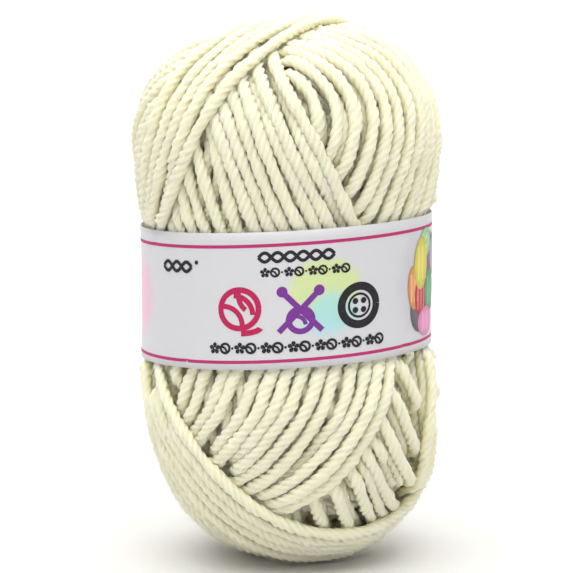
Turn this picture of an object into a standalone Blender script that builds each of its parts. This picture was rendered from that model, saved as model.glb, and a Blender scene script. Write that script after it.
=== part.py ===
"""Ball of yarn: a wound ball whose waist is held in by a paper band.

Metres, +Z up. The origin is at the middle of the flat spot that the ball stands on. The front faces -Y.
"""

import math

import bmesh
import bpy
from mathutils import Vector

OBJECT_NAME = "ball_of_yarn"

# The wound form: a barrel between two rounded ends.
BALL_HEIGHT = 0.1204
UPPER_HALF_WIDTH = 0.0340
LOWER_HALF_WIDTH = 0.0334
DEPTH_PER_WIDTH = 0.95
UPPER_SHOULDER_Z = 0.093
LOWER_SHOULDER_Z = 0.040
END_ROUNDNESS = 2.25
FOOT_PRESSED_FLAT = 0.0012
END_LEAN = 0.0020
LEAN_STARTS_ABOVE = 0.106
LEAN_ENDS_BELOW = 0.034
CROWN_HOLLOW_DEPTH = 0.0030
CROWN_HOLLOW_RADIUS = 0.0075

# The paper band.
BAND_CENTRE_Z = 0.0616
BAND_WIDTH = 0.0290
BAND_HALF_WIDTH = 0.0322
BAND_THICKNESS = 0.0010
BAND_TILT = math.radians(2.7)
BAND_SEGMENTS = 72

# The yarn's waist: pressed in under the band, and drawn in a little beyond its edges.
GAP_UNDER_BAND = 0.0004
DRAWN_IN_AT_EDGE = 0.0015
DRAWN_IN_REACH_ABOVE = 0.0090
DRAWN_IN_REACH_BELOW = 0.0045
PRESSED_EDGE_STARTS = 0.0010
PRESSED_EDGE_ENDS = 0.0035
TILT_FADES_FROM = 0.018
TILT_FADES_OVER = 0.020

# Mesh density of the wound form: rings from foot to crown, and points round each.
RINGS = 56
POINTS_ROUND = 82
FOOT_SHARE = 0.37
CROWN_SHARE = 0.30

# Main twists: bands of strands wound side by side. A band crosses the waist at two places, given in
# degrees round the ball from its front towards +X, and its plane leans off upright on the way over the
# crown or under the foot: a band that starts at the front leans towards +X where the lean is positive.
STRAND_WIDTH = 0.0024
#   name, end, starts, ends, leans (degrees), strands, rise (metres)
TWISTS = (
    ("right_arcs", "crown", 45.0, 225.0, 10.0, 20, 0.0012),
    ("front_slant", "crown", 5.0, 175.0, -30.0, 18, 0.0014),
    ("crown_ridge", "crown", -80.0, 140.0, 15.0, 6, 0.0025),
    ("side_bundle", "foot", 55.0, 125.0, 5.0, 4, 0.0014),
    ("foot_slant", "foot", 10.0, 170.0, -25.0, 18, 0.0014),
    ("foot_sling", "foot", -80.0, 140.0, 20.0, 5, 0.0025),
)
TWIST_EDGE = 0.0028
TWIST_DATUM = 0.0018
TWISTS_FADE_BELOW = 0.0050

# Dents between the twists: where each sits on the form, how deep and how wide, in metres.
#   name, x, y, z, depth, radius
DENTS = (
    ("crown_dent", -0.024, -0.004, 0.110, 0.0022, 0.007),
    ("foot_gap", 0.010, -0.022, 0.011, 0.0030, 0.006),
)

YARN_COLOUR = (0.86, 0.83, 0.68, 1.0)
PAPER_COLOUR = (0.88, 0.87, 0.90, 1.0)


def clear_scene():
    for obj in list(bpy.data.objects):
        bpy.data.objects.remove(obj, do_unlink=True)


def smooth_step(value, low, high):
    """0 below low, 1 above high, and a smooth rise between."""
    share = min(max((value - low) / (high - low), 0.0), 1.0)
    return share * share * (3.0 - 2.0 * share)


def make_material(name, colour, roughness):
    material = bpy.data.materials.new(name)
    material.use_nodes = True
    shader = material.node_tree.nodes["Principled BSDF"]
    shader.inputs["Base Color"].default_value = colour
    shader.inputs["Roughness"].default_value = roughness
    shader.inputs["Metallic"].default_value = 0.0
    return material


def add_object(name, work_mesh, material, collection):
    """Turn a bmesh into a named, smooth-shaded object in the collection."""
    mesh = bpy.data.meshes.new(name)
    work_mesh.to_mesh(mesh)
    work_mesh.free()
    mesh.materials.append(material)
    mesh.shade_smooth()
    obj = bpy.data.objects.new(name, mesh)
    collection.objects.link(obj)
    return obj


def rounded_end(share):
    """Height and width shares of a rounded end, from its shoulder (0) to its tip (1)."""
    angle = 0.5 * math.pi * share
    power = 2.0 / END_ROUNDNESS
    return math.sin(angle) ** power, max(math.cos(angle), 0.0) ** power


def profile_at(climb):
    """Height and half width of the bare form, from the foot (0) to the crown (1)."""
    if climb < FOOT_SHARE:
        down, across = rounded_end(1.0 - climb / FOOT_SHARE)
        return LOWER_SHOULDER_Z - (LOWER_SHOULDER_Z + FOOT_PRESSED_FLAT) * down, LOWER_HALF_WIDTH * across
    if climb > 1.0 - CROWN_SHARE:
        up, across = rounded_end((climb - 1.0 + CROWN_SHARE) / CROWN_SHARE)
        return UPPER_SHOULDER_Z + (BALL_HEIGHT - UPPER_SHOULDER_Z) * up, UPPER_HALF_WIDTH * across
    share = (climb - FOOT_SHARE) / (1.0 - CROWN_SHARE - FOOT_SHARE)
    height = LOWER_SHOULDER_Z + share * (UPPER_SHOULDER_Z - LOWER_SHOULDER_Z)
    return height, LOWER_HALF_WIDTH + share * (UPPER_HALF_WIDTH - LOWER_HALF_WIDTH)


def under_band(height):
    """1 under the band and just past its edges, 0 clear of it."""
    beyond = abs(height - BAND_CENTRE_Z) - 0.5 * BAND_WIDTH
    return 1.0 - smooth_step(beyond, PRESSED_EDGE_STARTS, PRESSED_EDGE_ENDS)


def waisted(height, half_width):
    """The half width once the band has drawn the waist in."""
    beyond = max(abs(height - BAND_CENTRE_Z) - 0.5 * BAND_WIDTH, 0.0)
    reach = DRAWN_IN_REACH_ABOVE if height > BAND_CENTRE_Z else DRAWN_IN_REACH_BELOW
    drawn_in = half_width - DRAWN_IN_AT_EDGE * math.exp(-((beyond / reach) ** 2))
    pressed = BAND_HALF_WIDTH - BAND_THICKNESS - GAP_UNDER_BAND
    press = under_band(height)
    return drawn_in + press * (min(pressed, drawn_in) - drawn_in)


def waist_point(degrees_round):
    """Where a band crosses the waist, at an angle round the ball from its front."""
    turn = math.radians(degrees_round)
    across = BAND_HALF_WIDTH * math.sin(turn)
    through = -DEPTH_PER_WIDTH * BAND_HALF_WIDTH * math.cos(turn)
    return Vector((across, through, BAND_CENTRE_Z))


def twist_height(point):
    """How far the main twists stand out at a point: the highest band there wins."""
    above = point.z > BAND_CENTRE_Z
    lift = 0.0
    for _name, end, starts, ends, leans, strands, rise in TWISTS:
        if above != (end == "crown"):
            continue
        start = waist_point(starts)
        along = (waist_point(ends) - start).normalized()
        aside = along.cross(Vector((0.0, 0.0, 1.0)))
        leaning = math.radians(leans if above else -leans)
        normal = aside * math.cos(leaning) - Vector((0.0, 0.0, math.sin(leaning)))
        outside = abs(normal.dot(point - start)) - 0.5 * strands * STRAND_WIDTH
        lift = max(lift, rise * (1.0 - smooth_step(outside, 0.0, TWIST_EDGE)))
    return lift


def dent_depth(point):
    return sum(
        depth * math.exp(-((point - Vector((x, y, z))).length / radius) ** 2)
        for _name, x, y, z, depth, radius in DENTS
    )


def end_lean(height):
    crown = smooth_step(height, LEAN_STARTS_ABOVE, BALL_HEIGHT)
    foot = 1.0 - smooth_step(height, 0.0, LEAN_ENDS_BELOW)
    return END_LEAN * (crown + foot)


def band_slope(height):
    """Rise per metre across X: the band's tilt at the waist, fading out towards both ends."""
    away = abs(height - BAND_CENTRE_Z) - TILT_FADES_FROM
    return math.tan(BAND_TILT) * (1.0 - smooth_step(away, 0.0, TILT_FADES_OVER))


def wound_point(turn, climb):
    """The ball's surface at an angle round and a climb from foot (0) to crown (1)."""
    height, bare = profile_at(climb)
    half_width = waisted(height, bare)
    point = Vector((half_width * math.cos(turn), DEPTH_PER_WIDTH * half_width * math.sin(turn), height))
    away_from_middle = point - Vector((0.0, 0.0, min(max(height, LOWER_SHOULDER_Z), UPPER_SHOULDER_Z)))
    outward = away_from_middle.normalized()
    bump = (twist_height(point) - TWIST_DATUM) * (1.0 - under_band(height)) - dent_depth(point)
    point += outward * bump * smooth_step(height, -FOOT_PRESSED_FLAT, TWISTS_FADE_BELOW)
    point.z -= CROWN_HOLLOW_DEPTH * math.exp(-((bare / CROWN_HOLLOW_RADIUS) ** 2)) * (climb > 0.5)
    point.z += band_slope(height) * point.x
    point.x += end_lean(height)
    point.z = max(point.z, 0.0)
    return point


def build_wound_yarn(material, collection):
    """A UV sphere whose rings are carried onto the wound form."""
    ball = bmesh.new()
    bmesh.ops.create_uvsphere(ball, u_segments=POINTS_ROUND, v_segments=RINGS, radius=1.0)
    for vertex in ball.verts:
        climb = math.acos(min(max(-vertex.co.z, -1.0), 1.0)) / math.pi
        vertex.co = wound_point(math.atan2(vertex.co.y, vertex.co.x), climb)
    return add_object("wound_yarn", ball, material, collection)


def build_label_band(material, collection):
    """An open oval sleeve that leans with the waist, given the paper's thickness inwards."""
    band = bmesh.new()
    bmesh.ops.create_cone(
        band, cap_ends=False, segments=BAND_SEGMENTS, radius1=1.0, radius2=1.0, depth=BAND_WIDTH
    )
    for vertex in band.verts:
        across = BAND_HALF_WIDTH * vertex.co.x
        through = DEPTH_PER_WIDTH * BAND_HALF_WIDTH * vertex.co.y
        height = BAND_CENTRE_Z + vertex.co.z + math.tan(BAND_TILT) * across
        vertex.co = (across, through, height)
    obj = add_object("label_band", band, material, collection)
    wall = obj.modifiers.new("paper thickness", "SOLIDIFY")
    wall.thickness = BAND_THICKNESS
    wall.offset = -1.0
    wall.use_even_offset = True
    return obj


def main():
    clear_scene()
    collection = bpy.data.collections.new(OBJECT_NAME)
    bpy.context.scene.collection.children.link(collection)
    build_wound_yarn(make_material("cream yarn", YARN_COLOUR, 0.9), collection)
    build_label_band(make_material("coated paper", PAPER_COLOUR, 0.45), collection)


main()
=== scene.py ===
"""Looks of the ball of yarn: every strand wound on in turn, the printed paper band, and a plain studio."""

import math

import bmesh
import bpy
import numpy as np
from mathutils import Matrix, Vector


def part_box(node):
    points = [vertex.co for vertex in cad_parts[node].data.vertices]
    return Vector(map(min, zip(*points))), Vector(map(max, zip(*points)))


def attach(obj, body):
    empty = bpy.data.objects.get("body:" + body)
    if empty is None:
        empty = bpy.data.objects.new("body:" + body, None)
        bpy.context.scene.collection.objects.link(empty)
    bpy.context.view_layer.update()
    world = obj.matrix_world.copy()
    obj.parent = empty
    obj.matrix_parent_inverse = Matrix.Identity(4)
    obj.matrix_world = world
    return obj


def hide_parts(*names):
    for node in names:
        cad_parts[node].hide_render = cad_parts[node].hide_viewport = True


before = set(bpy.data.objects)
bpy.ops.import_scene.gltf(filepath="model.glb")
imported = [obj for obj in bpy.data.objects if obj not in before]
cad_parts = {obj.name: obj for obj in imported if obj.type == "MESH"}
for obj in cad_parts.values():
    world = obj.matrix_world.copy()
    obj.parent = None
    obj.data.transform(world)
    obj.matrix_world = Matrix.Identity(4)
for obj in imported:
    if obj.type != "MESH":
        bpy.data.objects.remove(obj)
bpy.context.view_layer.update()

MM = 0.001
BODY = "root"
rng = np.random.default_rng(50)

# ---------------------------------------------------------------- sizes, from the frame
ball_low, ball_high = (np.array(corner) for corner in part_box("wound_yarn"))
band_low, band_high = (np.array(corner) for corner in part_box("label_band"))
BALL_HEIGHT = ball_high[2] - ball_low[2]
BAND_HALF_X = 0.5 * (band_high[0] - band_low[0])
BAND_HALF_Y = 0.5 * (band_high[1] - band_low[1])
BAND_CENTRE_Z = 0.5 * (band_high[2] + band_low[2])
DEPTH_PER_WIDTH = BAND_HALF_Y / BAND_HALF_X
BAND_WIDTH = 29.0 * MM
BAND_TILT = math.asin((band_high[2] - band_low[2] - BAND_WIDTH) / (2.0 * BAND_HALF_X))

# The wound form, as the strands' outer faces make it. The paper draws in the waist a little past its edges.
UPPER_HALF_WIDTH = 34.0 * MM
LOWER_HALF_WIDTH = 33.5 * MM
UPPER_SHOULDER_Z = 93.0 * MM
LOWER_SHOULDER_Z = 40.0 * MM
END_ROUNDNESS = 2.25
FOOT_PRESSED_FLAT = 1.2 * MM
DRAWN_IN_AT_EDGE = 1.7 * MM
DRAWN_IN_REACH_ABOVE = 9.0 * MM
DRAWN_IN_REACH_BELOW = 4.5 * MM
END_LEAN = 2.0 * MM
LOWER_SHIFT = 1.3 * MM

# Depths: the winding's datum and the core below the outer faces, then heights of a strand's centre from
# the datum. The deepest strands stop at one of a few levels, so that they don't merge into one mass.
WINDING_DEPTH = 3.0 * MM
CORE_DEPTH = 7.0 * MM
DEEPEST = 2.2 * MM
LEVELS = 3
LEVEL_STEP = 0.9 * MM
FIBRES_SHOW_ABOVE = 0.6 * MM
MIDDLE = np.array([0.0, 0.0, 60.0 * MM])
JOIN_Z = BAND_CENTRE_Z

# The strand: four plies, twisted to the left.
STRAND_RADIUS = 1.36 * MM
STRAND_WANDER = 0.32 * MM
STRAND_UNEVEN = 0.22 * MM
PLIES = 4
TWIST_PITCH = 7.6 * MM
SOFTNESS = 0.76
FUZZ_FIBRES = 24000
PIECE_FACES = 96000


# ---------------------------------------------------------------- the wound form
def smooth_step(value, low, high):
    """0 below low, 1 above high, and a smooth rise between."""
    share = np.clip((value - low) / (high - low), 0.0, 1.0)
    return share * share * (3.0 - 2.0 * share)


def half_width(height, inset=0.0):
    """Half width across X at a height: a barrel, with a superellipse for each rounded end."""
    barrel = LOWER_HALF_WIDTH + (UPPER_HALF_WIDTH - LOWER_HALF_WIDTH) * np.clip(
        (height - LOWER_SHOULDER_Z) / (UPPER_SHOULDER_Z - LOWER_SHOULDER_Z), 0.0, 1.0)
    crown = BALL_HEIGHT - inset - UPPER_SHOULDER_Z
    foot = LOWER_SHOULDER_Z + FOOT_PRESSED_FLAT - inset
    share = np.maximum((height - UPPER_SHOULDER_Z) / crown, (LOWER_SHOULDER_Z - height) / foot)
    share = np.clip(share, 0.0, 1.0)
    beyond = np.maximum(np.abs(height - BAND_CENTRE_Z) - 0.5 * BAND_WIDTH, 0.0)
    reach = np.where(height > BAND_CENTRE_Z, DRAWN_IN_REACH_ABOVE, DRAWN_IN_REACH_BELOW)
    waist = DRAWN_IN_AT_EDGE * np.exp(-((beyond / reach) ** 2))
    return (barrel - waist - inset) * (1.0 - share ** END_ROUNDNESS) ** (1.0 / END_ROUNDNESS)


def on_form(centre, direction, inset):
    """Points where rays from a centre inside the form meet it, found by halving."""
    near = np.zeros(direction.shape[:-1])
    far = np.full(direction.shape[:-1], 0.1)
    for _ in range(26):
        reach = 0.5 * (near + far)
        point = centre + direction * reach[..., None]
        across = np.hypot(point[..., 0], point[..., 1] / DEPTH_PER_WIDTH)
        inside = across < half_width(point[..., 2], inset)
        near = np.where(inside, reach, near)
        far = np.where(inside, far, reach)
    return centre + direction * near[..., None]


def settle(points):
    """The ball's set: both ends lean to one side, the lower part sits towards +X, the waist tilts with the
    band, and the foot is flat."""
    points = points.copy()
    height = points[..., 2].copy()
    tilt = 1.0 - smooth_step(np.abs(height - BAND_CENTRE_Z), 18.0 * MM, 38.0 * MM)
    lean = smooth_step(height, 106.0 * MM, 120.0 * MM) + 1.0 - smooth_step(height, 0.0, 34.0 * MM)
    points[..., 2] += math.tan(BAND_TILT) * tilt * points[..., 0]
    lower = (1.0 - smooth_step(height, 36.0 * MM, 52.0 * MM)) * smooth_step(height, 4.0 * MM, 24.0 * MM)
    points[..., 0] += END_LEAN * lean + LOWER_SHIFT * lower
    low = FOOT_PRESSED_FLAT
    under = points[..., 2] < low
    points[..., 2] = np.where(under, low * np.exp((points[..., 2] - low) / low), points[..., 2])
    return points


# ---------------------------------------------------------------- laying the strands
class Lay:
    """What already lies on the ball, taken from the outside in: a grid of directions from the middle,
    each with the height of the underside of the strands that cover it."""

    rows, columns = 360, 480
    stretch = np.array([34.0, 32.3, 60.0]) * MM

    def __init__(self):
        slant = (np.arange(self.rows) + 0.5) * math.pi / self.rows
        turn = np.arange(self.columns) * 2.0 * math.pi / self.columns - math.pi
        slant, turn = np.meshgrid(slant, turn, indexing="ij")
        direction = self.stretch * np.stack(
            [np.sin(slant) * np.cos(turn), np.sin(slant) * np.sin(turn), np.cos(slant)], axis=-1)
        self.base = on_form(MIDDLE, direction / np.linalg.norm(direction, axis=-1, keepdims=True), WINDING_DEPTH)
        down = np.gradient(self.base, axis=0)
        round_ = np.roll(self.base, -1, axis=1) - np.roll(self.base, 1, axis=1)
        normal = np.cross(down, round_)
        self.normal = normal / np.linalg.norm(normal, axis=-1, keepdims=True)
        self.underside = np.full((self.rows, self.columns), 0.1)
        from_axis = np.linalg.norm(self.base[:, :, :2], axis=-1).mean(axis=1)
        self.column_width = from_axis * 2.0 * math.pi / self.columns

    def cells(self, points):
        """Row and column of the grid, as decimals, under each point."""
        way = (points - MIDDLE) / self.stretch
        way = way / np.linalg.norm(way, axis=-1, keepdims=True)
        row = np.arccos(np.clip(way[..., 2], -1.0, 1.0)) * self.rows / math.pi - 0.5
        column = (np.arctan2(way[..., 1], way[..., 0]) + math.pi) * self.columns / (2.0 * math.pi)
        return row, column

    def read(self, field, points):
        """A field of the grid at the points, blended between the four cells round each."""
        row, column = self.cells(points)
        row = np.clip(row, 0.0, self.rows - 1.001)
        top, left = np.floor(row).astype(int), np.floor(column).astype(int)
        down, along = row - top, column - left
        if field.ndim == 3:
            down, along = down[..., None], along[..., None]
        left, right = left % self.columns, (left + 1) % self.columns
        upper = field[top, left] * (1.0 - along) + field[top, right] * along
        lower = field[top + 1, left] * (1.0 - along) + field[top + 1, right] * along
        return upper * (1.0 - down) + lower * down

    def room(self, points, across, radius):
        """How high a strand's centre can lie under what covers it: the lowest over its width."""
        most = np.full(len(points), 0.1)
        for share in (-0.75, -0.4, 0.0, 0.4, 0.75):
            row, column = self.cells(points + across * (share * radius))
            row = np.clip(np.rint(row).astype(int), 0, self.rows - 1)
            column = np.rint(column).astype(int) % self.columns
            most = np.minimum(most, self.underside[row, column] - radius * math.sqrt(1.0 - share * share))
        return most

    def cover(self, points, centre_height, radius):
        """Lower the grid to the underside of a round strand along the points."""
        row, column = self.cells(points)
        row, column = np.rint(row).astype(int), np.rint(column).astype(int)
        reach = np.ceil(radius / self.column_width[np.clip(row, 0, self.rows - 1)]).astype(int)
        low = 0
        for most in (3, 5, 9, 18, 45, self.columns // 2 - 1):
            chosen = (reach > low) & (reach <= most)
            low = most
            if not chosen.any():
                continue
            down = row[chosen, None, None] + np.arange(-4, 5)[None, :, None]
            along = column[chosen, None, None] + np.arange(-most, most + 1)[None, None, :]
            down, along = np.broadcast_arrays(np.clip(down, 0, self.rows - 1), along % self.columns)
            gap = self.base[down, along] - points[chosen, None, None, :]
            left = radius ** 2 - (gap ** 2).sum(axis=-1)
            under = centre_height[chosen, None, None] - np.sqrt(np.maximum(left, 0.0))
            hit = left > 0.0
            np.minimum.at(self.underside, (down[hit], along[hit]), under[hit])


def slow_wave(share, count, size):
    """A smooth closed wave round a loop: the sum of a few sines of random phase."""
    wave = np.zeros_like(share)
    for turns in range(1, count + 1):
        phase, height = rng.uniform(0.0, 2.0 * math.pi), rng.normal() / math.sqrt(count)
        wave += height * np.sin(2.0 * math.pi * turns * share + phase)
    return size * wave


def waist_point(degrees_round):
    """Where a loop crosses the waist, at an angle round the ball from its front towards +X."""
    turn = math.radians(degrees_round)
    across = float(half_width(np.array(JOIN_Z), WINDING_DEPTH))
    return np.array([across * math.sin(turn), -DEPTH_PER_WIDTH * across * math.cos(turn), JOIN_Z])


def half_loop(start, end, leans, upward):
    """Half a loop between two waist points: the cut of the form by the plane through both that leans
    off upright, over the crown or under the foot. A loop that starts at the front leans towards +X
    where the lean is positive."""
    middle = 0.5 * (start + end)
    along = (end - start) / np.linalg.norm(end - start)
    aside = np.cross(along, [0.0, 0.0, 1.0])
    leans = math.radians(leans)
    away = np.array([0.0, 0.0, math.cos(leans) * (1.0 if upward else -1.0)]) + math.sin(leans) * aside
    turn = np.linspace(0.0, math.pi, 200, endpoint=False)
    direction = away * np.sin(turn)[:, None] - along * np.cos(turn)[:, None]
    return on_form(middle, direction, WINDING_DEPTH)


def towards_front(points, pole_forward):
    """Carry the crown's winding pole forward: turn directions from the middle about the X axis, most at
    the pole and fading out towards the waist."""
    way = (points - MIDDLE) / Lay.stretch
    way /= np.linalg.norm(way, axis=1, keepdims=True)
    polar = np.arccos(np.clip(way[:, 2], -1.0, 1.0))
    turn = math.radians(pole_forward) * (1.0 - smooth_step(polar, 0.0, math.radians(66.0)))
    moved = np.stack([way[:, 0], way[:, 1] * np.cos(turn) - way[:, 2] * np.sin(turn),
                      way[:, 1] * np.sin(turn) + way[:, 2] * np.cos(turn)], axis=1) * Lay.stretch
    return on_form(MIDDLE, moved / np.linalg.norm(moved, axis=1, keepdims=True), WINDING_DEPTH)


def gathered(points, share):
    """The crown half of a loop drawn in towards the sling, more the nearer it comes to the crown."""
    starts, ends, leans = SLING_MIDDLE
    sling = half_loop(waist_point(starts), waist_point(ends), leans, True)
    share = share * smooth_step(points[:, 2:], 80.0 * MM, 108.0 * MM)
    way = (points + (sling - points) * share - MIDDLE)
    return on_form(MIDDLE, way / np.linalg.norm(way, axis=1, keepdims=True), WINDING_DEPTH)


def loop_on_form(starts, crown_ends, crown_leans, crown_pole, foot_ends, foot_leans, gather):
    """A loop of strand: over the crown from its front waist point to a back one, and back under the
    foot. Its two halves run into each other under the paper."""
    start = waist_point(starts)
    over = towards_front(half_loop(start, waist_point(crown_ends), crown_leans, True), crown_pole)
    if gather > 0.0:
        over = gathered(over, gather)
    under = half_loop(waist_point(foot_ends), start, -foot_leans, False)
    return np.vstack([over[over[:, 2] > JOIN_Z + 7.0 * MM], under[under[:, 2] < JOIN_Z - 7.0 * MM]])


def even_steps(points, step):
    """The same closed loop with its points an even distance apart."""
    closed = np.vstack([points, points[:1]])
    along = np.concatenate([[0.0], np.cumsum(np.linalg.norm(np.diff(closed, axis=0), axis=1))])
    count = max(int(round(along[-1] / step)), 24)
    wanted = np.linspace(0.0, along[-1], count, endpoint=False)
    return np.stack([np.interp(wanted, along, closed[:, k]) for k in range(3)], axis=1)


def with_wander(points, size):
    """The loop, eased round its corners and wandering a little to each side of its plane."""
    for _ in range(3):
        points = 0.5 * points + 0.25 * (np.roll(points, 2, axis=0) + np.roll(points, -2, axis=0))
    outward = points - MIDDLE
    ahead = np.roll(points, -1, axis=0) - np.roll(points, 1, axis=0)
    side = np.cross(outward, ahead)
    side /= np.linalg.norm(side, axis=1, keepdims=True)
    share = np.arange(len(points)) / len(points)
    return points + side * slow_wave(share, 7, size)[:, None]


def bedded(height, step):
    """How a soft strand beds under what crosses it: the least room within 1.2 mm along it, then
    averaged along it by a bell weight."""
    reach = max(int(round(1.2 * MM / step)), 1)
    low = height
    for shift in range(1, reach + 1):
        low = np.minimum(low, np.minimum(np.roll(height, shift), np.roll(height, -shift)))
    turns = np.arange(len(height) // 2 + 1) * 2.0 * math.pi / (len(height) * step)
    return np.fft.irfft(np.fft.rfft(low) * np.exp(-0.5 * (turns * 1.6 * MM) ** 2), n=len(height))


def bed_in(lay, loop, rise, points_round, step, deepest):
    """Fit one loop of strand in under what covers it, no higher than the ball's outer face and a rise,
    and no deeper than the level given."""
    points = with_wander(even_steps(loop, step), STRAND_WANDER)
    normal = lay.read(lay.normal, points)
    ahead = np.roll(points, -1, axis=0) - np.roll(points, 1, axis=0)
    across = np.cross(normal, ahead)
    across /= np.linalg.norm(across, axis=1, keepdims=True)
    radius = STRAND_RADIUS * (1.0 + rng.normal() * 0.03)
    soft = SOFTNESS * radius
    share = np.arange(len(points)) / len(points)
    outer = WINDING_DEPTH - radius + rise + rng.normal() * STRAND_UNEVEN + slow_wave(share, 6, 0.18 * MM)
    height = bedded(np.minimum(outer, lay.room(points, across, soft)), step)
    height = np.maximum(height, -deepest)
    lay.cover(points, height, soft)
    return {"points": points, "normal": normal, "height": height, "radius": radius,
            "points_round": points_round}


# Old turns under the top layer: sweeps right round the ball, through its middle line.
#   name, loops, leans (degrees), points round the strand, step between rings (mm)
SWEEPS = (
    ("inner", 16, 12.0, 8, 1.8),
    ("outer", 44, -26.0, 12, 1.3),
)
OUTER_SWEEP_STARTS = 60.0

# The top layer. Each band's loops are wound at even times between its first and its last, and bands
# that overlap in time are wound turn about. A loop starts at a place on the waist, in degrees round
# from the front. Its crown half and its foot half each end at a place on the waist, lean off upright
# in degrees towards +X. On the crown it may pass round a pole that sits some degrees forward of the
# ball's end, or be gathered in towards the sling (0 not at all, 1 fully).
#   name, loops, from, to, rise (mm), first and last (starts, crown ends, crown leans, crown pole,
#   foot ends, foot leans, gather)
BANDS = (
    ("under_slant", 13, 1, 15, 0.0, (-54, 230, -10, 0, 200, -6, 0), (42, 140, -26, 0, 140, 24, 0)),
    ("under_cross", 12, 1.5, 15.5, 0.0, (-40, 262, 6, 26, 210, -20, 0), (58, 285, 20, 24, 240, -26, 0)),
    ("front_slant", 16, 20, 40, 0.0, (-58, 232, -10, 0, 200, -6, 0), (45, 140, -26, 0, 140, 28, 0)),
    ("left_cross", 4, 20.5, 25.5, 0.0, (-50, 262, 6, 22, 210, -6, 0), (-30, 266, 8, 22, 210, -20, 0)),
    ("front_cross", 14, 26.5, 40.5, 0.0, (-24, 270, 10, 22, 210, -24, 0), (62, 285, 24, 26, 240, -27, 0)),
    ("side_bundle", 4, 41, 43, 1.0, (66, 285, 26, 26, 136, 3, 0), (78, 285, 28, 26, 129, -5, 0)),
    ("crown_turns", 12, 44, 50, 0.1, (-134, 172, -16, 0, 140, 2, 1.0), (-98, 211, 18, 0, 150, 19, 0.7)),
    ("sling", 5, 51, 55, 1.4, (-96, 212, 21, 0, 150, 26, 0), (-86, 216, 31, 0, 150, 34, 0)),
)
# Loops wound before this time lie under the others and have fewer points.
UNDER_UNTIL = 18.0
# The sling's middle turn: starts, crown ends, crown leans.
SLING_MIDDLE = (-91, 214, 26)


def loops_of(band):
    """The loops of a band as (time wound, rise, shape), evenly from its first to its last."""
    _name, loops, begins, finishes, rise, first, last = band
    for share in np.linspace(0.0, 1.0, loops):
        shape = tuple(a + (b - a) * share for a, b in zip(first, last))
        yield begins + share * (finishes - begins), rise * MM, shape


def loops_inwards():
    """Every loop of the ball from the last one wound to the first, each slipped a little from its place:
    (loop, rise, points round the strand, step between rings)."""
    for time, rise, shape in sorted((loop for band in BANDS for loop in loops_of(band)), reverse=True):
        slip = rng.normal(size=2) * 0.35
        slipped = np.array(shape) + np.array([slip[0], slip[0], slip[1], 0.0, slip[0], slip[1], 0.0])
        points_round, step = (12, 1.1 * MM) if time > UNDER_UNTIL else (8, 1.5 * MM)
        yield loop_on_form(*slipped), rise, points_round, step
    for _name, loops, leans, points_round, step in reversed(SWEEPS):
        for index in reversed(range(loops)):
            starts = OUTER_SWEEP_STARTS + 360.0 * index / loops + rng.normal() * 1.0
            slant = leans + rng.normal() * 1.0
            loop = loop_on_form(starts, starts + 180.0, slant, 0.0, starts + 180.0, -slant, 0.0)
            yield loop, 0.0, points_round, step * MM


def wind_ball():
    """Bed in every loop under those over it."""
    lay = Lay()
    strands = []
    for loop, rise, points_round, step in loops_inwards():
        deepest = DEEPEST + len(strands) % LEVELS * LEVEL_STEP
        strands.append(bed_in(lay, loop, rise, points_round, step, deepest))
    return strands, lay


# ---------------------------------------------------------------- strand meshes
def under_paper(points):
    """Press what lies under the paper band inwards: the distance from the upright axis, as on a round
    ball, runs smoothly up to the room inside the paper and no further. It fades out past the edges."""
    points = points.copy()
    beyond = np.abs(points[:, 2] - BAND_CENTRE_Z - math.tan(BAND_TILT) * points[:, 0]) - 0.5 * BAND_WIDTH
    share = 1.0 - smooth_step(beyond, 0.1 * MM, 2.2 * MM)
    across = np.hypot(points[:, 0], points[:, 1] / DEPTH_PER_WIDTH)
    room, soft = BAND_HALF_X - 0.6 * MM, 0.8 * MM
    over = np.maximum(across - room + soft, 0.0)
    pressed = across - over + soft * (1.0 - np.exp(-over / soft))
    factor = 1.0 + share * (pressed / across - 1.0)
    points[:, 0] *= factor
    points[:, 1] *= factor
    return points


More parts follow.
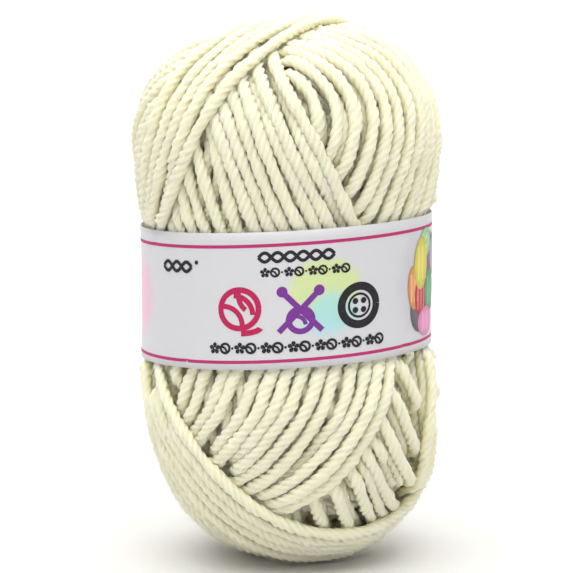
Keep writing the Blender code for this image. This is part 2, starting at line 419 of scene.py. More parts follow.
def strand_tube(strand):
    """A plied tube: each ring is a four-lobed outline, and the rings turn along the path so that the
    lobes wind round it. Its maps run along the strand and round it."""
    centre = strand["points"] + strand["normal"] * strand["height"][:, None]
    count = len(centre)
    ahead = np.roll(centre, -1, axis=0) - np.roll(centre, 1, axis=0)
    ahead /= np.linalg.norm(ahead, axis=1, keepdims=True)
    out = strand["normal"] - ahead * (strand["normal"] * ahead).sum(axis=1, keepdims=True)
    out /= np.linalg.norm(out, axis=1, keepdims=True)
    side = np.cross(ahead, out)
    share = np.arange(count) / count
    length = np.linalg.norm(np.roll(centre, -1, axis=0) - centre, axis=1).sum()
    turns = max(round(length / TWIST_PITCH), 1)
    twist = 2.0 * math.pi * (turns * share + slow_wave(share, 8, 0.05)) + rng.uniform(0.0, 2.0 * math.pi)
    round_count = strand["points_round"]
    per_ply = round_count // PLIES
    spoke = 2.0 * math.pi * np.arange(round_count) / round_count
    from_ply = (np.arange(round_count) % per_ply) / per_ply - 0.5
    from_ply = from_ply * 2.0 * math.pi / PLIES
    ply_centre, ply_radius = 0.49, 0.53
    lobe = ply_centre * np.cos(from_ply) + np.sqrt(ply_radius ** 2 - (ply_centre * np.sin(from_ply)) ** 2)
    thick = strand["radius"] * (1.0 + slow_wave(share, 40, 0.085))
    angle = spoke[None, :] - twist[:, None]
    thick *= 1.0 + rng.normal(0.0, 0.035, count)
    centre = centre + side * rng.normal(0.0, 0.05 * MM, (count, 1))
    woolly = rng.normal(0.0, 0.075, (count, round_count))
    reach = thick[:, None] * (lobe[None, :] + 0.5 * (woolly + np.roll(woolly, 1, axis=0)))
    points = (centre[:, None, :] + side[:, None, :] * (1.07 * reach * np.cos(angle))[..., None]
              + out[:, None, :] * (0.93 * reach * np.sin(angle))[..., None])
    ring = np.arange(count)[:, None] * round_count
    next_ring = ((np.arange(count) + 1) % count)[:, None] * round_count
    here, beside = np.arange(round_count)[None, :], (np.arange(round_count)[None, :] + 1) % round_count
    quads = np.stack([ring + here, ring + beside, next_ring + beside, next_ring + here], axis=-1).reshape(-1, 4)
    along, way = np.meshgrid(np.arange(count) / count, np.arange(round_count) / round_count, indexing="ij")
    corner_along = along[..., None] + np.array([0, 0, 1, 1]) / count
    corner_way = way[..., None] + np.array([0, 1, 1, 0]) / round_count
    return {
        "points": under_paper(settle(points.reshape(-1, 3))),
        "quads": quads,
        "map": np.stack([corner_along, corner_way], axis=-1).reshape(-1, 2),
        "size": np.array([length, 2.0 * math.pi * strand["radius"]]),
        "start": rng.uniform(0.0, 100.0, 2),
        # Masks for painted shade: the ply valleys, and the strand's flanks that face away from the outside.
        "ply_valley_shade": np.tile(np.where(from_ply < -0.5, 1.0, 0.0), count),
        "flank_shade": (1.0 - smooth_step(np.sin(angle), -0.35, 0.75)).ravel(),
        "tone": np.full(count * round_count, rng.uniform(0.0, 1.0)),
    }


def grid_quads(rows, columns):
    """The faces of a grid of points held row by row, each as its four corners in order round it."""
    row, column = np.meshgrid(np.arange(rows - 1), np.arange(columns - 1), indexing="ij")
    corner = (row * columns + column).ravel()
    return np.stack([corner, corner + columns, corner + columns + 1, corner + 1], axis=-1)


def make_mesh(name, points, faces, material, maps=None, values=None, colours=None):
    """Put arrays of points and faces, with any maps and values on them, into a shaded object at the origin."""
    mesh = bpy.data.meshes.new(name)
    mesh.vertices.add(len(points))
    mesh.vertices.foreach_set("co", np.asarray(points, np.float32).ravel())
    mesh.loops.add(faces.size)
    mesh.loops.foreach_set("vertex_index", faces.astype(np.int32).ravel())
    mesh.polygons.add(len(faces))
    mesh.polygons.foreach_set("loop_start", np.arange(0, faces.size, faces.shape[1], dtype=np.int32))
    mesh.polygons.foreach_set("loop_total", np.full(len(faces), faces.shape[1], np.int32))
    mesh.polygons.foreach_set("use_smooth", np.ones(len(faces), bool))
    mesh.update(calc_edges=True)
    for map_name, corners in (maps or {}).items():
        mesh.uv_layers.new(name=map_name).data.foreach_set("uv", corners.astype(np.float32).ravel())
    for value_name, amounts in (values or {}).items():
        mesh.attributes.new(value_name, "FLOAT", "POINT").data.foreach_set("value", amounts.astype(np.float32))
    if colours is not None:
        filled = np.concatenate([colours, np.ones((len(colours), 1))], axis=1).astype(np.float32)
        mesh.attributes.new("ink", "FLOAT_COLOR", "POINT").data.foreach_set("color", filled.ravel())
    mesh.materials.append(material)
    obj = bpy.data.objects.new(name, mesh)
    bpy.context.scene.collection.objects.link(obj)
    return obj


def belongs(piece, node):
    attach(piece, BODY)
    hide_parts(node)


def build_strands(strands, material):
    """The strands as tubes, joined into pieces of a size that the tools take."""
    groups, faces = [[]], 0
    for strand in strands:
        tube = strand_tube(strand)
        if faces + len(tube["quads"]) > PIECE_FACES:
            groups.append([])
            faces = 0
        groups[-1].append(tube)
        faces += len(tube["quads"])
    for number, group in enumerate(groups, 1):
        first = np.cumsum([0] + [len(tube["points"]) for tube in group[:-1]])
        strip = [(tube["map"] + (0.0, row)) * (1.0, 1.0 / len(group)) for row, tube in enumerate(group)]
        fibres = [tube["map"] * tube["size"] / MM + tube["start"] for tube in group]
        piece = make_mesh(
            f"wound_strands_{number}",
            np.concatenate([tube["points"] for tube in group]),
            np.concatenate([tube["quads"] + start for tube, start in zip(group, first)]),
            material,
            maps={"OFBake": np.concatenate(strip), "fibres": np.concatenate(fibres)},
            values={name: np.concatenate([tube[name] for tube in group]) for name in ("ply_valley_shade", "flank_shade", "tone")})
        belongs(piece, "wound_yarn")
    print("strands", len(strands), "pieces", len(groups))


def build_fuzz(strands, material):
    """Loose fibres that stand off the top strands: each a thin ribbon of four steps that leaves the
    strand's side, runs on along it in a low arch and drifts aside."""
    points, outward, radius = [], [], []
    for strand in strands:
        shown = strand["height"] > FIBRES_SHOW_ABOVE
        points.append((strand["points"] + strand["normal"] * strand["height"][:, None])[shown])
        ahead = np.roll(strand["points"], -1, axis=0) - np.roll(strand["points"], 1, axis=0)
        ahead /= np.linalg.norm(ahead, axis=1, keepdims=True)
        outward.append(np.stack([strand["normal"], ahead], axis=1)[shown])
        radius.append(np.full(shown.sum(), strand["radius"]))
    points, outward, radius = np.concatenate(points), np.concatenate(outward), np.concatenate(radius)
    chosen = rng.integers(0, len(points), FUZZ_FIBRES)
    centre, out, ahead, radius = points[chosen], outward[chosen, 0], outward[chosen, 1], radius[chosen]
    side = np.cross(out, ahead)
    way = rng.normal(0.0, 0.7, FUZZ_FIBRES)[:, None]
    root_out = out * np.cos(way) + side * np.sin(way)
    drift = (side * np.cos(way) - out * np.sin(way)) * rng.normal(0.0, 0.55, FUZZ_FIBRES)[:, None]
    length = rng.uniform(1.2, 3.2, FUZZ_FIBRES)[:, None] * MM
    length = length * np.where(rng.random((FUZZ_FIBRES, 1)) < 0.5, -1.0, 1.0)
    arch = rng.uniform(0.10, 0.55, FUZZ_FIBRES)[:, None] * MM
    loose = (rng.random((FUZZ_FIBRES, 1)) < 0.3) * rng.uniform(0.1, 0.5, (FUZZ_FIBRES, 1)) * MM
    steps = np.linspace(0.0, 1.0, 5)[None, :, None]
    path = ((centre + root_out * 0.92 * radius[:, None])[:, None, :] + (ahead * length)[:, None, :] * steps
            + (root_out * arch)[:, None, :] * np.sin(math.pi * steps)
            + (root_out * loose)[:, None, :] * steps ** 2
            + (drift * np.abs(length))[:, None, :] * steps ** 2)
    roll = rng.uniform(0.0, math.pi, FUZZ_FIBRES)[:, None]
    width = (side * np.cos(roll) + out * np.sin(roll))[:, None, :] * 0.022 * MM * (1.0 - 0.6 * steps)
    ribbons = np.stack([path - width, path + width], axis=2).reshape(-1, 3)
    first = (np.arange(FUZZ_FIBRES)[:, None] * 10 + 2 * np.arange(4)[None, :]).ravel()
    quads = np.stack([first, first + 1, first + 3, first + 2], axis=-1)
    fuzz = make_mesh("loose_fibres", under_paper(settle(ribbons)), quads, material)
    belongs(fuzz, "wound_yarn")


def build_core(lay, material):
    """What shows between the strands, as one closed skin: the ball's form under the strands, on a grid
    of climbs and turns that closes at both poles."""
    climb = np.linspace(0.0, math.pi, 61)[:, None]
    turn = np.linspace(0.0, 2.0 * math.pi, 96, endpoint=False)[None, :]
    direction = lay.stretch * np.stack([np.sin(climb) * np.cos(turn), np.sin(climb) * np.sin(turn),
                                        np.cos(climb) + 0.0 * turn], axis=-1)
    direction[[0, -1], :, :2] = 0.0
    points = on_form(MIDDLE, direction / np.linalg.norm(direction, axis=-1, keepdims=True), CORE_DEPTH)
    rings, around = points.shape[:2]
    ring, place = np.meshgrid(np.arange(rings - 1), np.arange(around), indexing="ij")
    beside = (place + 1) % around
    quads = np.stack([ring * around + place, (ring + 1) * around + place,
                      (ring + 1) * around + beside, ring * around + beside], axis=-1).reshape(-1, 4)
    core = make_mesh("wound_core", under_paper(settle(points.reshape(-1, 3))), quads, material)
    work = bmesh.new()
    work.from_mesh(core.data)
    bmesh.ops.remove_doubles(work, verts=work.verts, dist=0.01 * MM)
    bmesh.ops.recalc_face_normals(work, faces=work.faces)
    work.to_mesh(core.data)
    work.free()
    belongs(core, "wound_yarn")


# ---------------------------------------------------------------- paper band and its print
PAPER_THICKNESS = 0.25 * MM
PAPER_ROUND = math.pi * (BAND_HALF_X + BAND_HALF_Y)
PAPER_LAP = 10.0 * MM
INK_LIFT = 0.03 * MM
OVAL_POINTS = 11

# Small creases where the paper has been handled: place round from the front (degrees), height up the
# band from its middle, depth and width (mm).
#   name, turn, height, depth, width
CREASES = (
    ("left_top", -61.0, 13.5, 0.35, 1.2),
    ("left_foot", -42.0, -13.5, 0.30, 1.0),
    ("right_foot", 52.0, -13.0, 0.30, 1.2),
    ("right_top", 18.0, 14.0, 0.20, 1.5),
    ("back_top", 150.0, 13.0, 0.35, 1.5),
)


def paper_point(along, up, lift):
    """A point of the paper: a distance along it from the front and up from its middle line, laid round
    the oval of the band, tilted with it, a little wavy at its edges and dented at the creases."""
    turn = 2.0 * math.pi * along / PAPER_ROUND
    edge = np.abs(up) / (0.5 * BAND_WIDTH)
    wave = 0.10 * np.sin(3.0 * turn + 0.6) + 0.07 * np.sin(7.0 * turn + 2.0 + up / (4.0 * MM))
    out = lift + MM * wave * edge ** 2 + 0.12 * MM * edge ** 4
    for _name, place, height, depth, width in CREASES:
        away = ((turn - math.radians(place)) * BAND_HALF_X / (width * MM)) ** 2 + ((up / MM - height) / 2.5) ** 2
        out = out - depth * MM * np.exp(-away)
    lapped = smooth_step(along, 0.5 * PAPER_ROUND - 2.0 * MM, 0.5 * PAPER_ROUND + 0.5 * MM)
    out = out + (PAPER_THICKNESS + 0.1 * MM) * lapped
    x = (BAND_HALF_X + out) * np.sin(turn)
    y = -(BAND_HALF_Y + out) * np.cos(turn)
    z = BAND_CENTRE_Z + up + math.tan(BAND_TILT) * x + 0.12 * MM * np.sin(2.0 * turn + 0.8) * edge
    return np.stack([x, y, z], axis=-1)


def build_paper(material):
    """The band: a strip of paper on a grid of lengths and heights, once round with a lap at the back."""
    along = np.linspace(-0.5 * PAPER_ROUND, 0.5 * PAPER_ROUND + PAPER_LAP, 300)
    up = np.linspace(-0.5 * BAND_WIDTH, 0.5 * BAND_WIDTH, 17)
    length, height = np.meshgrid(along, up, indexing="ij")
    points = paper_point(length, height, 0.0).reshape(-1, 3)
    quads = grid_quads(len(along), len(up))
    flat = np.stack([length, height], axis=-1).reshape(-1, 2)[quads].reshape(-1, 2)
    strip = (flat - flat.min(axis=0)) / np.ptp(flat, axis=0)
    paper = make_mesh("paper_band", points, quads, material, maps={"OFBake": strip, "flat": flat / MM})
    wall = paper.modifiers.new("paper thickness", "SOLIDIFY")
    wall.thickness = PAPER_THICKNESS
    wall.offset = -1.0
    belongs(paper, "label_band")
    return paper


def ribbon(path, width, colour):
    """A stroke of ink: a path in flat paper sizes, half its width to each side."""
    path = np.asarray(path, float)
    ahead = np.gradient(path, axis=0)
    ahead /= np.linalg.norm(ahead, axis=1, keepdims=True)
    left = np.stack([-ahead[:, 1], ahead[:, 0]], axis=1)
    flat = np.stack([path - 0.5 * width * left, path + 0.5 * width * left], axis=1).reshape(-1, 2)
    first = 2 * np.arange(len(path) - 1)
    quads = np.stack([first, first + 2, first + 3, first + 1], axis=-1)
    return flat, quads, np.tile(colour, (len(flat), 1))


def oval(centre, size, colour, rim, lean=0.0):
    """A filled oval of ink: a square grid eased out onto a disc, its colour running to that of its rim."""
    grid = np.linspace(-1.0, 1.0, OVAL_POINTS)
    u, v = np.meshgrid(grid, grid, indexing="ij")
    disc = np.stack([u * np.sqrt(1.0 - 0.5 * v ** 2), v * np.sqrt(1.0 - 0.5 * u ** 2)], axis=-1).reshape(-1, 2)
    share = np.clip(np.linalg.norm(disc, axis=1), 0.0, 1.0)[:, None] ** 2.5
    turn = math.radians(lean)
    spin = np.array([[math.cos(turn), math.sin(turn)], [-math.sin(turn), math.cos(turn)]])
    flat = (0.5 * disc * size) @ spin + centre
    return flat, grid_quads(OVAL_POINTS, OVAL_POINTS), np.array(colour) * (1.0 - share) + np.array(rim) * share


def arc(centre, radius, first, last, squash=1.0, count=28):
    """Points along part of an oval, between two angles in degrees."""
    turn = np.radians(np.linspace(first, last, count))
    return np.stack([centre[0] + radius * np.cos(turn), centre[1] + squash * radius * np.sin(turn)], axis=1)


def ball_mark(centre, size, colour):
    """A ball of yarn: its round edge, strands bowed across it two ways, and a loose end."""
    radius, stroke = 0.40 * size, 0.12 * size
    x, y = centre[0], centre[1] + 0.06 * size
    yield ribbon(arc((x, y), radius, 0.0, 360.0, count=60), stroke, colour)
    for bow in (0.30, 0.85):
        yield ribbon(arc((x - bow * radius, y - bow * radius), 1.0 * radius, 0.0, 90.0), 0.9 * stroke, colour)
    yield ribbon(arc((x + 0.95 * radius, y + 0.75 * radius), 1.0 * radius, 172.0, 232.0), 0.9 * stroke, colour)
    yield ribbon(arc((x + 0.05 * radius, y - 0.95 * radius), 1.05 * radius, -88.0, -8.0, 0.30), stroke, colour)


def needles_mark(centre, size, colour):
    """Two knitting needles crossed over a small ball."""
    x, y = centre
    stroke, reach = 0.12 * size, 0.44 * size
    for way in (-1.0, 1.0):
        ends = np.array([[x - way * reach, y - reach], [x + way * 0.85 * reach, y + 0.9 * reach]])
        yield ribbon(ends[0] + (ends[1] - ends[0]) * np.linspace(0.0, 1.0, 12)[:, None], stroke, colour)
        yield oval(ends[1], (0.22 * size, 0.22 * size), colour, colour)
    yield ribbon(arc((x, y - 0.20 * size), 0.24 * size, 0.0, 360.0, count=40), stroke, colour)
    yield ribbon(arc((x - 0.1 * size, y - 0.32 * size), 0.2 * size, 5.0, 95.0), 0.7 * stroke, colour)


def button_mark(centre, size, colour):
    """A sewing button: its edge, an inner ring and four holes."""
    yield ribbon(arc(centre, 0.40 * size, 0.0, 360.0, count=60), 0.17 * size, colour)
    yield ribbon(arc(centre, 0.24 * size, 0.0, 360.0, count=44), 0.05 * size, colour)
    for across in (-1.0, 1.0):
        for up in (-1.0, 1.0):
            hole = (centre[0] + across * 0.095 * size, centre[1] + up * 0.095 * size)
            yield oval(hole, (0.13 * size, 0.13 * size), colour, colour)


def cord_row(centre, length, height, turns, colour):
    """A drawn cord: two wavy strokes that wind round each other."""
    share = np.linspace(0.0, 1.0, 16 * turns)
    x = centre[0] + (share - 0.5) * length
    for way in (-1.0, 1.0):
        y = centre[1] + way * 0.36 * height * np.sin(math.pi * turns * share)
        yield ribbon(np.stack([x, y], axis=1), 0.27 * height, colour)


def flower_mark(centre, size, colour):
    """A small flower: five petals round a middle."""
    for petal in range(5):
        turn = 2.0 * math.pi * petal / 5.0 + 0.5 * math.pi
        place = (centre[0] + 0.31 * size * math.cos(turn), centre[1] + 0.31 * size * math.sin(turn))
        yield oval(place, (0.34 * size, 0.34 * size), colour, colour)
    yield ribbon(arc(centre, 0.13 * size, 0.0, 360.0, count=16), 0.10 * size, colour)


def small_row(centre, length, height, groups, colour):
    """Pairs of a small flower and a small ball, with a dot between the pairs."""
    pitch = length / groups
    for group in range(groups):
        middle = centre[0] + (group - 0.5 * (groups - 1)) * pitch
        yield from flower_mark((middle - 0.21 * pitch, centre[1]), height, colour)
        ball = (middle + 0.21 * pitch, centre[1])
        yield ribbon(arc(ball, 0.38 * height, 0.0, 360.0, count=24), 0.20 * height, colour)
        yield ribbon(arc((ball[0] - 0.3 * height, ball[1] - 0.3 * height), 0.42 * height, 5.0, 85.0, 1.0, 8),
                     0.17 * height, colour)
        if group < groups - 1:
            yield oval((middle + 0.5 * pitch, centre[1]), (0.2 * height, 0.2 * height), colour, colour)


CRIMSON, PURPLE, BLACK = (0.46, 0.004, 0.080), (0.175, 0.024, 0.28), (0.008, 0.006, 0.010)
MAGENTA = (0.46, 0.018, 0.150)

# Balls of yarn printed at the right end: place along and up, width and height (mm), lean, colour.
#   name, along, up, width, height, lean, colour
PRINTED_BALLS = (
    ("shade_high", 38.5, 2.5, 13.0, 18.0, 0.0, (0.17, 0.15, 0.17)),
    ("shade_low", 34.5, -5.5, 8.0, 10.0, 0.0, (0.16, 0.14, 0.16)),
    ("mint", 38.0, 8.6, 7.0, 6.5, 0.0, (0.42, 0.72, 0.36)),
    ("lilac", 44.5, 5.5, 6.5, 9.5, 0.0, (0.52, 0.36, 0.60)),
    ("green", 41.5, -2.2, 8.0, 9.5, 0.0, (0.13, 0.38, 0.16)),
    ("orange", 31.8, -0.6, 4.6, 9.5, 4.0, (0.80, 0.34, 0.12)),
    ("red", 34.8, -2.8, 5.2, 9.0, 4.0, (0.58, 0.05, 0.06)),
    ("yellow", 35.4, 4.4, 7.0, 11.5, -6.0, (0.74, 0.66, 0.10)),
    ("pink", 38.2, -8.6, 9.0, 6.5, 0.0, (0.80, 0.30, 0.56)),
)


def printed_shapes():
    """Everything printed on the band, as flat shapes with their ink."""
    whole = np.linspace(-0.5 * PAPER_ROUND + 1.0 * MM, 0.5 * PAPER_ROUND + PAPER_LAP - 0.3 * MM, 260)
    for level, drift in ((11.7, 0.25), (-12.8, 0.2)):
        height = (level + drift * np.sin(2.0 * math.pi * whole / PAPER_ROUND)) * MM
        yield ribbon(np.stack([whole, height], axis=1), 0.7 * MM, MAGENTA)
    size = 10.2 * MM
    marks = ((ball_mark, -9.8, CRIMSON), (needles_mark, 2.9, PURPLE), (button_mark, 15.6, BLACK))
    for mark, along, colour in marks:
        yield from mark((along * MM, -2.2 * MM), size, colour)
    yield from cord_row((2.1 * MM, 9.2 * MM), 15.7 * MM, 2.6 * MM, 6, BLACK)
    yield from small_row((4.0 * MM, 6.0 * MM), 19.6 * MM, 2.2 * MM, 4, BLACK)
    yield from small_row((2.6 * MM, -9.9 * MM), 39.0 * MM, 2.6 * MM, 7, BLACK)
    yield from cord_row((-25.4 * MM, 7.2 * MM), 8.6 * MM, 2.8 * MM, 3, BLACK)
    yield oval((-19.8 * MM, 8.2 * MM), (0.9 * MM, 0.9 * MM), BLACK, BLACK)
    for _name, along, up, width, height, lean, colour in PRINTED_BALLS:
        colour = np.array(colour)
        centre, box = (along * MM, up * MM), np.array([width, height]) * MM
        yield oval(centre, box, colour, 0.7 * colour, lean)
        if width > 0.7 * height and colour.max() < 0.2:
            continue
        for strand in (-0.25, 0.05, 0.35):
            middle = centre[0] + strand * box[0]
            path = arc((middle, centre[1]), 0.36 * box[1], -62.0, 62.0, 1.0, 12)
            path[:, 0] = middle + 0.16 * (path[:, 0] - middle) * box[0] / box[1]
            yield ribbon(path, 0.22 * MM, 0.55 * colour + 0.45)


def build_print(material):
    """The ink, laid on the paper shape by shape, each a hair above the last so that none coincide."""
    shapes = list(printed_shapes())
    first = np.cumsum([0] + [len(flat) for flat, _quads, _ink in shapes[:-1]])
    lift = np.concatenate([np.full(len(flat), INK_LIFT + 0.0006 * MM * order)
                           for order, (flat, _quads, _ink) in enumerate(shapes)])
    flat = np.concatenate([flat for flat, _quads, _ink in shapes])
    quads = np.concatenate([quads + start for (_flat, quads, _ink), start in zip(shapes, first)])
    strip = (flat - flat.min(axis=0)) / np.ptp(flat, axis=0)
    ink = make_mesh("paper_print", paper_point(flat[:, 0], flat[:, 1], lift), quads, material,
                    maps={"OFBake": strip[quads].reshape(-1, 2)},
                    colours=np.concatenate([ink for _flat, _quads, ink in shapes]))
    belongs(ink, "label_band")
    return ink


# ---------------------------------------------------------------- materials
def put(tree, kind, inputs=None, **settings):
    """A shader node with its settings, its inputs given as values or as the outputs that feed them."""
    made = tree.nodes.new(kind)
    for name, value in settings.items():
        setattr(made, name, value)
    for name, value in (inputs or {}).items():
        if isinstance(value, bpy.types.NodeSocket):
            tree.links.new(value, made.inputs[name])
        else:
            made.inputs[name].default_value = value
    return made


def new_group(name, inputs, outputs):
    """A node group with named sockets, each (name, socket kind, value)."""
    tree = bpy.data.node_groups.new(name, "ShaderNodeTree")
    for socket, kind, value in inputs:
        made = tree.interface.new_socket(socket, in_out="INPUT", socket_type=kind)
        if value is not None:
            made.default_value = value
    for socket, kind in outputs:
        tree.interface.new_socket(socket, in_out="OUTPUT", socket_type=kind)
    return tree, tree.nodes.new("NodeGroupInput"), tree.nodes.new("NodeGroupOutput")


def make_fibres_group():
    """Fine fibres that run along a strand, and the slow changes of tone from one length to the next."""
    tree, inside, result = new_group(
        "spun fibres",
        [("Place", "NodeSocketVector", None), ("Fineness", "NodeSocketFloat", 1.0)],
        [("Height", "NodeSocketFloat"), ("Tone", "NodeSocketFloat")])
    drawn = put(tree, "ShaderNodeMapping", {"Vector": inside.outputs["Place"], "Scale": (0.7, 3.2, 1.0)})
    fine = put(tree, "ShaderNodeTexNoise", {"Vector": drawn.outputs[0], "Scale": inside.outputs["Fineness"],
                                           "Detail": 4.0, "Roughness": 0.72})
    slow = put(tree, "ShaderNodeTexNoise", {"Vector": inside.outputs["Place"], "Scale": 0.22, "Detail": 1.0})
    tree.links.new(fine.outputs["Fac"], result.inputs["Height"])
    tree.links.new(slow.outputs["Fac"], result.inputs["Tone"])
    return tree


def new_material(name, values):
    """A material, its tree and its surface shader, with plain values on the shader's inputs."""
    material = bpy.data.materials.new(name)
    material.use_nodes = True
    shader = material.node_tree.nodes["Principled BSDF"]
    for socket, value in values.items():
        shader.inputs[socket].default_value = value
    return material, material.node_tree, shader


def maths(tree, operation, *values):
    """The result of one sum in a shader tree."""
    return put(tree, "ShaderNodeMath", dict(enumerate(values)), operation=operation).outputs[0]


def lay_surface(tree, shader, colour, height=None, strength=0.0, distance=0.0):
    """Feed a surface its colour and, from a height, its bump."""
    tree.links.new(colour, shader.inputs["Base Color"])
    if height is not None:
        bump = put(tree, "ShaderNodeBump", {"Height": height, "Strength": strength, "Distance": distance})
        tree.links.new(bump.outputs["Normal"], shader.inputs["Normal"])


def mix_colour(tree, share, first, second):
    made = put(tree, "ShaderNodeMix", data_type="RGBA")
    for socket, value in (("Factor", share), ("A", first), ("B", second)):
        choices = [s for s in made.inputs if s.name == socket and s.enabled]
        if isinstance(value, bpy.types.NodeSocket):
            tree.links.new(value, choices[0])
        else:
            choices[0].default_value = value
    return next(s for s in made.outputs if s.enabled)


def yarn_material(fibres):
    """Cream acrylic yarn: soft and matt, with painted shade that makes it yellower between the plies, down the
    strand's flanks and between the fine fibres that run along it."""
    material, tree, shader = new_material("cream yarn", {
        "Roughness": 0.85, "Specular IOR Level": 0.25, "Sheen Weight": 0.25, "Sheen Roughness": 0.45,
        "Subsurface Weight": 0.6, "Subsurface Radius": (1.0, 0.92, 0.65), "Subsurface Scale": 1.8 * MM})
    place = put(tree, "ShaderNodeUVMap", uv_map="fibres")
    spun = put(tree, "ShaderNodeGroup", {"Place": place.outputs["UV"]}, node_tree=fibres)
    ply_valley_shade = put(tree, "ShaderNodeAttribute", attribute_name="ply_valley_shade")
    tone = put(tree, "ShaderNodeAttribute", attribute_name="tone")
    flank_shade = put(tree, "ShaderNodeAttribute", attribute_name="flank_shade")
    # Painted shade: a mask for the ply valleys and the flanks, where the colour goes yellower.
    deeper = maths(tree, "MAXIMUM", maths(tree, "MULTIPLY", ply_valley_shade.outputs["Fac"], 0.8), flank_shade.outputs["Fac"])
    body = mix_colour(tree, tone.outputs["Fac"], (0.955, 0.935, 0.765, 1.0), (0.940, 0.912, 0.725, 1.0))
    worn = mix_colour(tree, spun.outputs["Tone"], body, (0.965, 0.945, 0.790, 1.0))
    # Painted shade between the fine fibres: where they lie low, the colour goes yellower.
    fibre_gap_shade = put(tree, "ShaderNodeMapRange", {"Value": spun.outputs["Height"], "From Min": 0.34, "From Max": 0.58,
                                             "To Min": 0.6, "To Max": 0.0})
    lowest = maths(tree, "MAXIMUM", deeper, fibre_gap_shade.outputs[0])
    # Painted shade colour: a deeper yellow cream, mixed in where the masks above are high.
    final = mix_colour(tree, lowest, worn, (0.945, 0.890, 0.560, 1.0))
    lay_surface(tree, shader, final, spun.outputs["Height"], 0.8, 0.35 * MM)
    return material


def fibre_material():
    """Loose fibres: the yarn's cream, a little lighter towards some of them."""
    material, tree, shader = new_material("loose cream fibres", {"Roughness": 0.7})
    place = put(tree, "ShaderNodeTexCoord")
    vary = put(tree, "ShaderNodeTexNoise", {"Vector": place.outputs["Object"], "Scale": 900.0, "Detail": 1.0})
    colour = mix_colour(tree, vary.outputs["Fac"], (0.930, 0.918, 0.780, 1.0), (0.900, 0.882, 0.720, 1.0))
    lay_surface(tree, shader, colour)
    return material


def core_material(fibres):
    """The same yarn deep between the strands, painted darker as shade, with faint darker turns and fibres on the
    ball's own sizes.
    """
    material, tree, shader = new_material("cream yarn in shade", {"Roughness": 0.9})
    place = put(tree, "ShaderNodeTexCoord")
    scaled = put(tree, "ShaderNodeMapping", {"Vector": place.outputs["Object"], "Scale": (900.0, 900.0, 250.0)})
    spun = put(tree, "ShaderNodeGroup", {"Place": scaled.outputs[0]}, node_tree=fibres)
    turns = put(tree, "ShaderNodeTexWave", {"Vector": place.outputs["Object"], "Scale": 150.0, "Distortion": 1.5},
                bands_direction="DIAGONAL")
    # Painted shade: deep, darker yellow creams, darkest along the faint turns.
    fibrous = mix_colour(tree, spun.outputs["Height"], (0.90, 0.85, 0.58, 1.0), (0.82, 0.76, 0.48, 1.0))
    colour = mix_colour(tree, turns.outputs["Fac"], (0.60, 0.54, 0.30, 1.0), fibrous)
    lay_surface(tree, shader, colour, spun.outputs["Height"], 0.6, 0.5 * MM)
    return material


def make_blot_group():
    """A soft-edged oval of colour: 1 in its middle, falling off past its edge, which a noise frays."""
    tree, inside, result = new_group(
        "soft blot",
        [("Place", "NodeSocketVector", None), ("Centre", "NodeSocketVector", (0.0, 0.0, 0.0)),
         ("Size", "NodeSocketVector", (1.0, 1.0, 1.0)), ("Softness", "NodeSocketFloat", 0.2)],
        [("Mask", "NodeSocketFloat")])
    shifted = put(tree, "ShaderNodeVectorMath", {0: inside.outputs["Place"], 1: inside.outputs["Centre"]},
                  operation="SUBTRACT")
    scaled = put(tree, "ShaderNodeVectorMath", {0: shifted.outputs[0], 1: inside.outputs["Size"]},
                 operation="DIVIDE")
    away = put(tree, "ShaderNodeVectorMath", {0: scaled.outputs[0]}, operation="LENGTH")
    frayed = put(tree, "ShaderNodeTexNoise", {"Vector": inside.outputs["Place"], "Scale": 0.25, "Detail": 2.0})
    edge = maths(tree, "MULTIPLY_ADD", frayed.outputs["Fac"], 0.5, away.outputs["Value"])
    near = maths(tree, "SUBTRACT", 1.25, inside.outputs["Softness"])
    far = maths(tree, "ADD", 1.25, inside.outputs["Softness"])
    mask = put(tree, "ShaderNodeMapRange", {"Value": edge, "From Min": near, "From Max": far, "To Min": 1.0,
                                            "To Max": 0.0}, interpolation_type="SMOOTHSTEP")
    tree.links.new(mask.outputs[0], result.inputs["Mask"])
    return tree


# Soft colours printed under the marks: centre along and up, size (mm), softness, strength, colour.
#   name, along, up, wide, high, softness, strength, colour
WASHES = (
    ("leaf wash", 8.2, 2.2, 7.6, 6.0, 0.16, 0.85, (0.60, 0.72, 0.30, 1.0)),
    ("sea wash", 9.0, -3.4, 5.6, 4.4, 0.45, 0.85, (0.36, 0.68, 0.70, 1.0)),
    ("rose wash", -42.0, -0.5, 6.5, 8.0, 0.40, 0.70, (0.84, 0.42, 0.58, 1.0)),
    ("grey shade", 37.0, 0.0, 10.0, 12.0, 0.35, 0.35, (0.40, 0.40, 0.43, 1.0)),
)


def paper_material(blot):
    """Coated paper, faintly mottled, with the soft colours of its print."""
    material, tree, shader = new_material("coated paper", {})
    place = put(tree, "ShaderNodeUVMap", uv_map="flat")
    mottle = put(tree, "ShaderNodeTexNoise", {"Vector": place.outputs["UV"], "Scale": 0.5, "Detail": 4.0})
    grain = put(tree, "ShaderNodeTexNoise", {"Vector": place.outputs["UV"], "Scale": 6.0, "Detail": 2.0})
    colour = mix_colour(tree, mottle.outputs["Fac"], (0.635, 0.635, 0.675, 1.0), (0.610, 0.610, 0.645, 1.0))
    for _name, along, up, wide, high, softness, strength, ink in WASHES:
        mask = put(tree, "ShaderNodeGroup", {
            "Place": place.outputs["UV"], "Centre": (along, up, 0.0), "Size": (wide, high, 1.0),
            "Softness": softness}, node_tree=blot)
        colour = mix_colour(tree, maths(tree, "MULTIPLY", mask.outputs["Mask"], strength), colour, ink)
    lay_surface(tree, shader, colour, grain.outputs["Fac"], 0.08, 0.05 * MM)
    rough = put(tree, "ShaderNodeMapRange", {"Value": mottle.outputs["Fac"], "To Min": 0.34, "To Max": 0.46})
    tree.links.new(rough.outputs[0], shader.inputs["Roughness"])
    return material


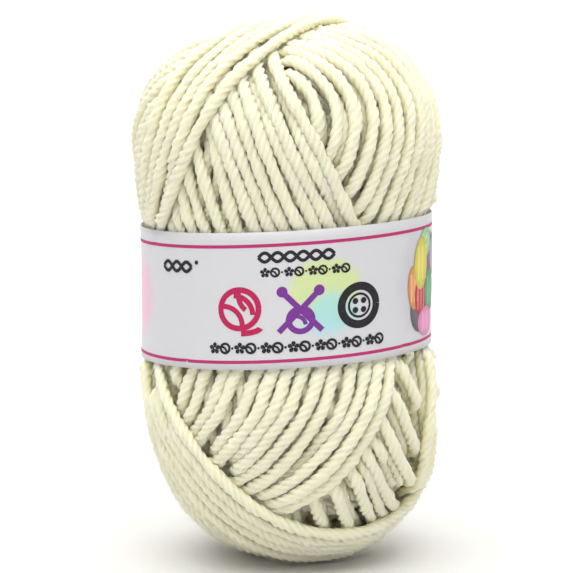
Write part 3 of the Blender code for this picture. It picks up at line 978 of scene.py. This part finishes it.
def ink_material():
    """Printing ink in each shape's own colour, with a slight unevenness in how it took to the paper."""
    material, tree, shader = new_material("printing ink", {"Specular IOR Level": 0.2})
    ink = put(tree, "ShaderNodeAttribute", attribute_name="ink")
    place = put(tree, "ShaderNodeTexCoord")
    uneven = put(tree, "ShaderNodeTexNoise", {"Vector": place.outputs["Object"], "Scale": 1500.0, "Detail": 2.0})
    share = maths(tree, "MULTIPLY", uneven.outputs["Fac"], 0.04)
    lay_surface(tree, shader, mix_colour(tree, share, ink.outputs["Color"], (0.75, 0.74, 0.78, 1.0)))
    rough = put(tree, "ShaderNodeMapRange", {"Value": uneven.outputs["Fac"], "To Min": 0.45, "To Max": 0.6})
    tree.links.new(rough.outputs[0], shader.inputs["Roughness"])
    return material


def studio_material():
    material, tree, shader = new_material("studio white", {"Roughness": 0.9})
    place = put(tree, "ShaderNodeTexCoord")
    mottle = put(tree, "ShaderNodeTexNoise", {"Vector": place.outputs["Object"], "Scale": 9.0, "Detail": 3.0})
    colour = mix_colour(tree, mottle.outputs["Fac"], (0.70, 0.70, 0.70, 1.0), (0.68, 0.68, 0.68, 1.0))
    lay_surface(tree, shader, colour)
    return material


# ---------------------------------------------------------------- studio
def build_studio():
    """A pale floor that sweeps up behind the ball: a line, a quarter circle and a line, carried across."""
    run = np.linspace(-0.8, 0.5, 14)
    bend = np.linspace(0.0, 0.5 * math.pi, 17)[1:]
    rise = np.linspace(0.0, 0.9, 8)[1:]
    depth = np.concatenate([run, 0.5 + 0.3 * np.sin(bend), np.full(7, 0.8)])
    height = np.concatenate([np.zeros(14), 0.3 * (1.0 - np.cos(bend)), 0.3 + rise])
    width = np.linspace(-1.2, 1.2, 9)
    across, back = np.meshgrid(width, depth)
    up = np.meshgrid(width, height)[1]
    points = np.stack([across, back, up], axis=-1).reshape(-1, 3)
    quads = grid_quads(len(depth), len(width))[:, ::-1]
    make_mesh("studio_sweep", points, quads, studio_material())


def area_light(name, place, aim, width, height, power, colour=(1.0, 1.0, 1.0)):
    lamp = bpy.data.lights.new(name, "AREA")
    lamp.shape = "RECTANGLE"
    lamp.size, lamp.size_y = width, height
    lamp.energy = power
    lamp.color = colour
    obj = bpy.data.objects.new(name, lamp)
    obj.location = place
    obj.rotation_euler = (Vector(aim) - Vector(place)).to_track_quat("-Z", "Y").to_euler()
    bpy.context.scene.collection.objects.link(obj)


def build_lights():
    area_light("overhead softbox", (-0.05, -0.28, 0.96), (0, 0, 0.06), 1.1, 0.9, 10.8, (1.0, 0.98, 0.93))
    area_light("front fill", (0.1, -1.2, 0.45), (0, 0, 0.06), 1.0, 0.7, 1.5, (1.0, 0.985, 0.96))
    area_light("backdrop wash", (0.0, 0.35, 0.75), (0, 0.75, 0.2), 1.4, 0.4, 6.0)
    world = bpy.data.worlds.new("studio air")
    world.use_nodes = True
    world.node_tree.nodes["Background"].inputs["Color"].default_value = (1.0, 0.995, 0.985, 1.0)
    world.node_tree.nodes["Background"].inputs["Strength"].default_value = 0.54
    bpy.context.scene.world = world


def build_camera():
    camera = bpy.data.cameras.new("camera")
    camera.lens = 136.7
    camera.sensor_width = 36.0
    obj = bpy.data.objects.new("camera", camera)
    obj.location = (0.0, -0.480, 0.126)
    aim = Vector((0.0, 0.0, 0.0604))
    obj.rotation_euler = (aim - obj.location).to_track_quat("-Z", "Y").to_euler()
    bpy.context.scene.collection.objects.link(obj)
    bpy.context.scene.camera = obj
    bpy.context.scene.view_settings.view_transform = "Standard"


build_camera()
build_studio()
build_lights()
spun_fibres = make_fibres_group()
wound, ball_lay = wind_ball()
build_strands(wound, yarn_material(spun_fibres))
build_fuzz(wound, fibre_material())
build_core(ball_lay, core_material(spun_fibres))
paper_band = build_paper(paper_material(make_blot_group()))
paper_print = build_print(ink_material())
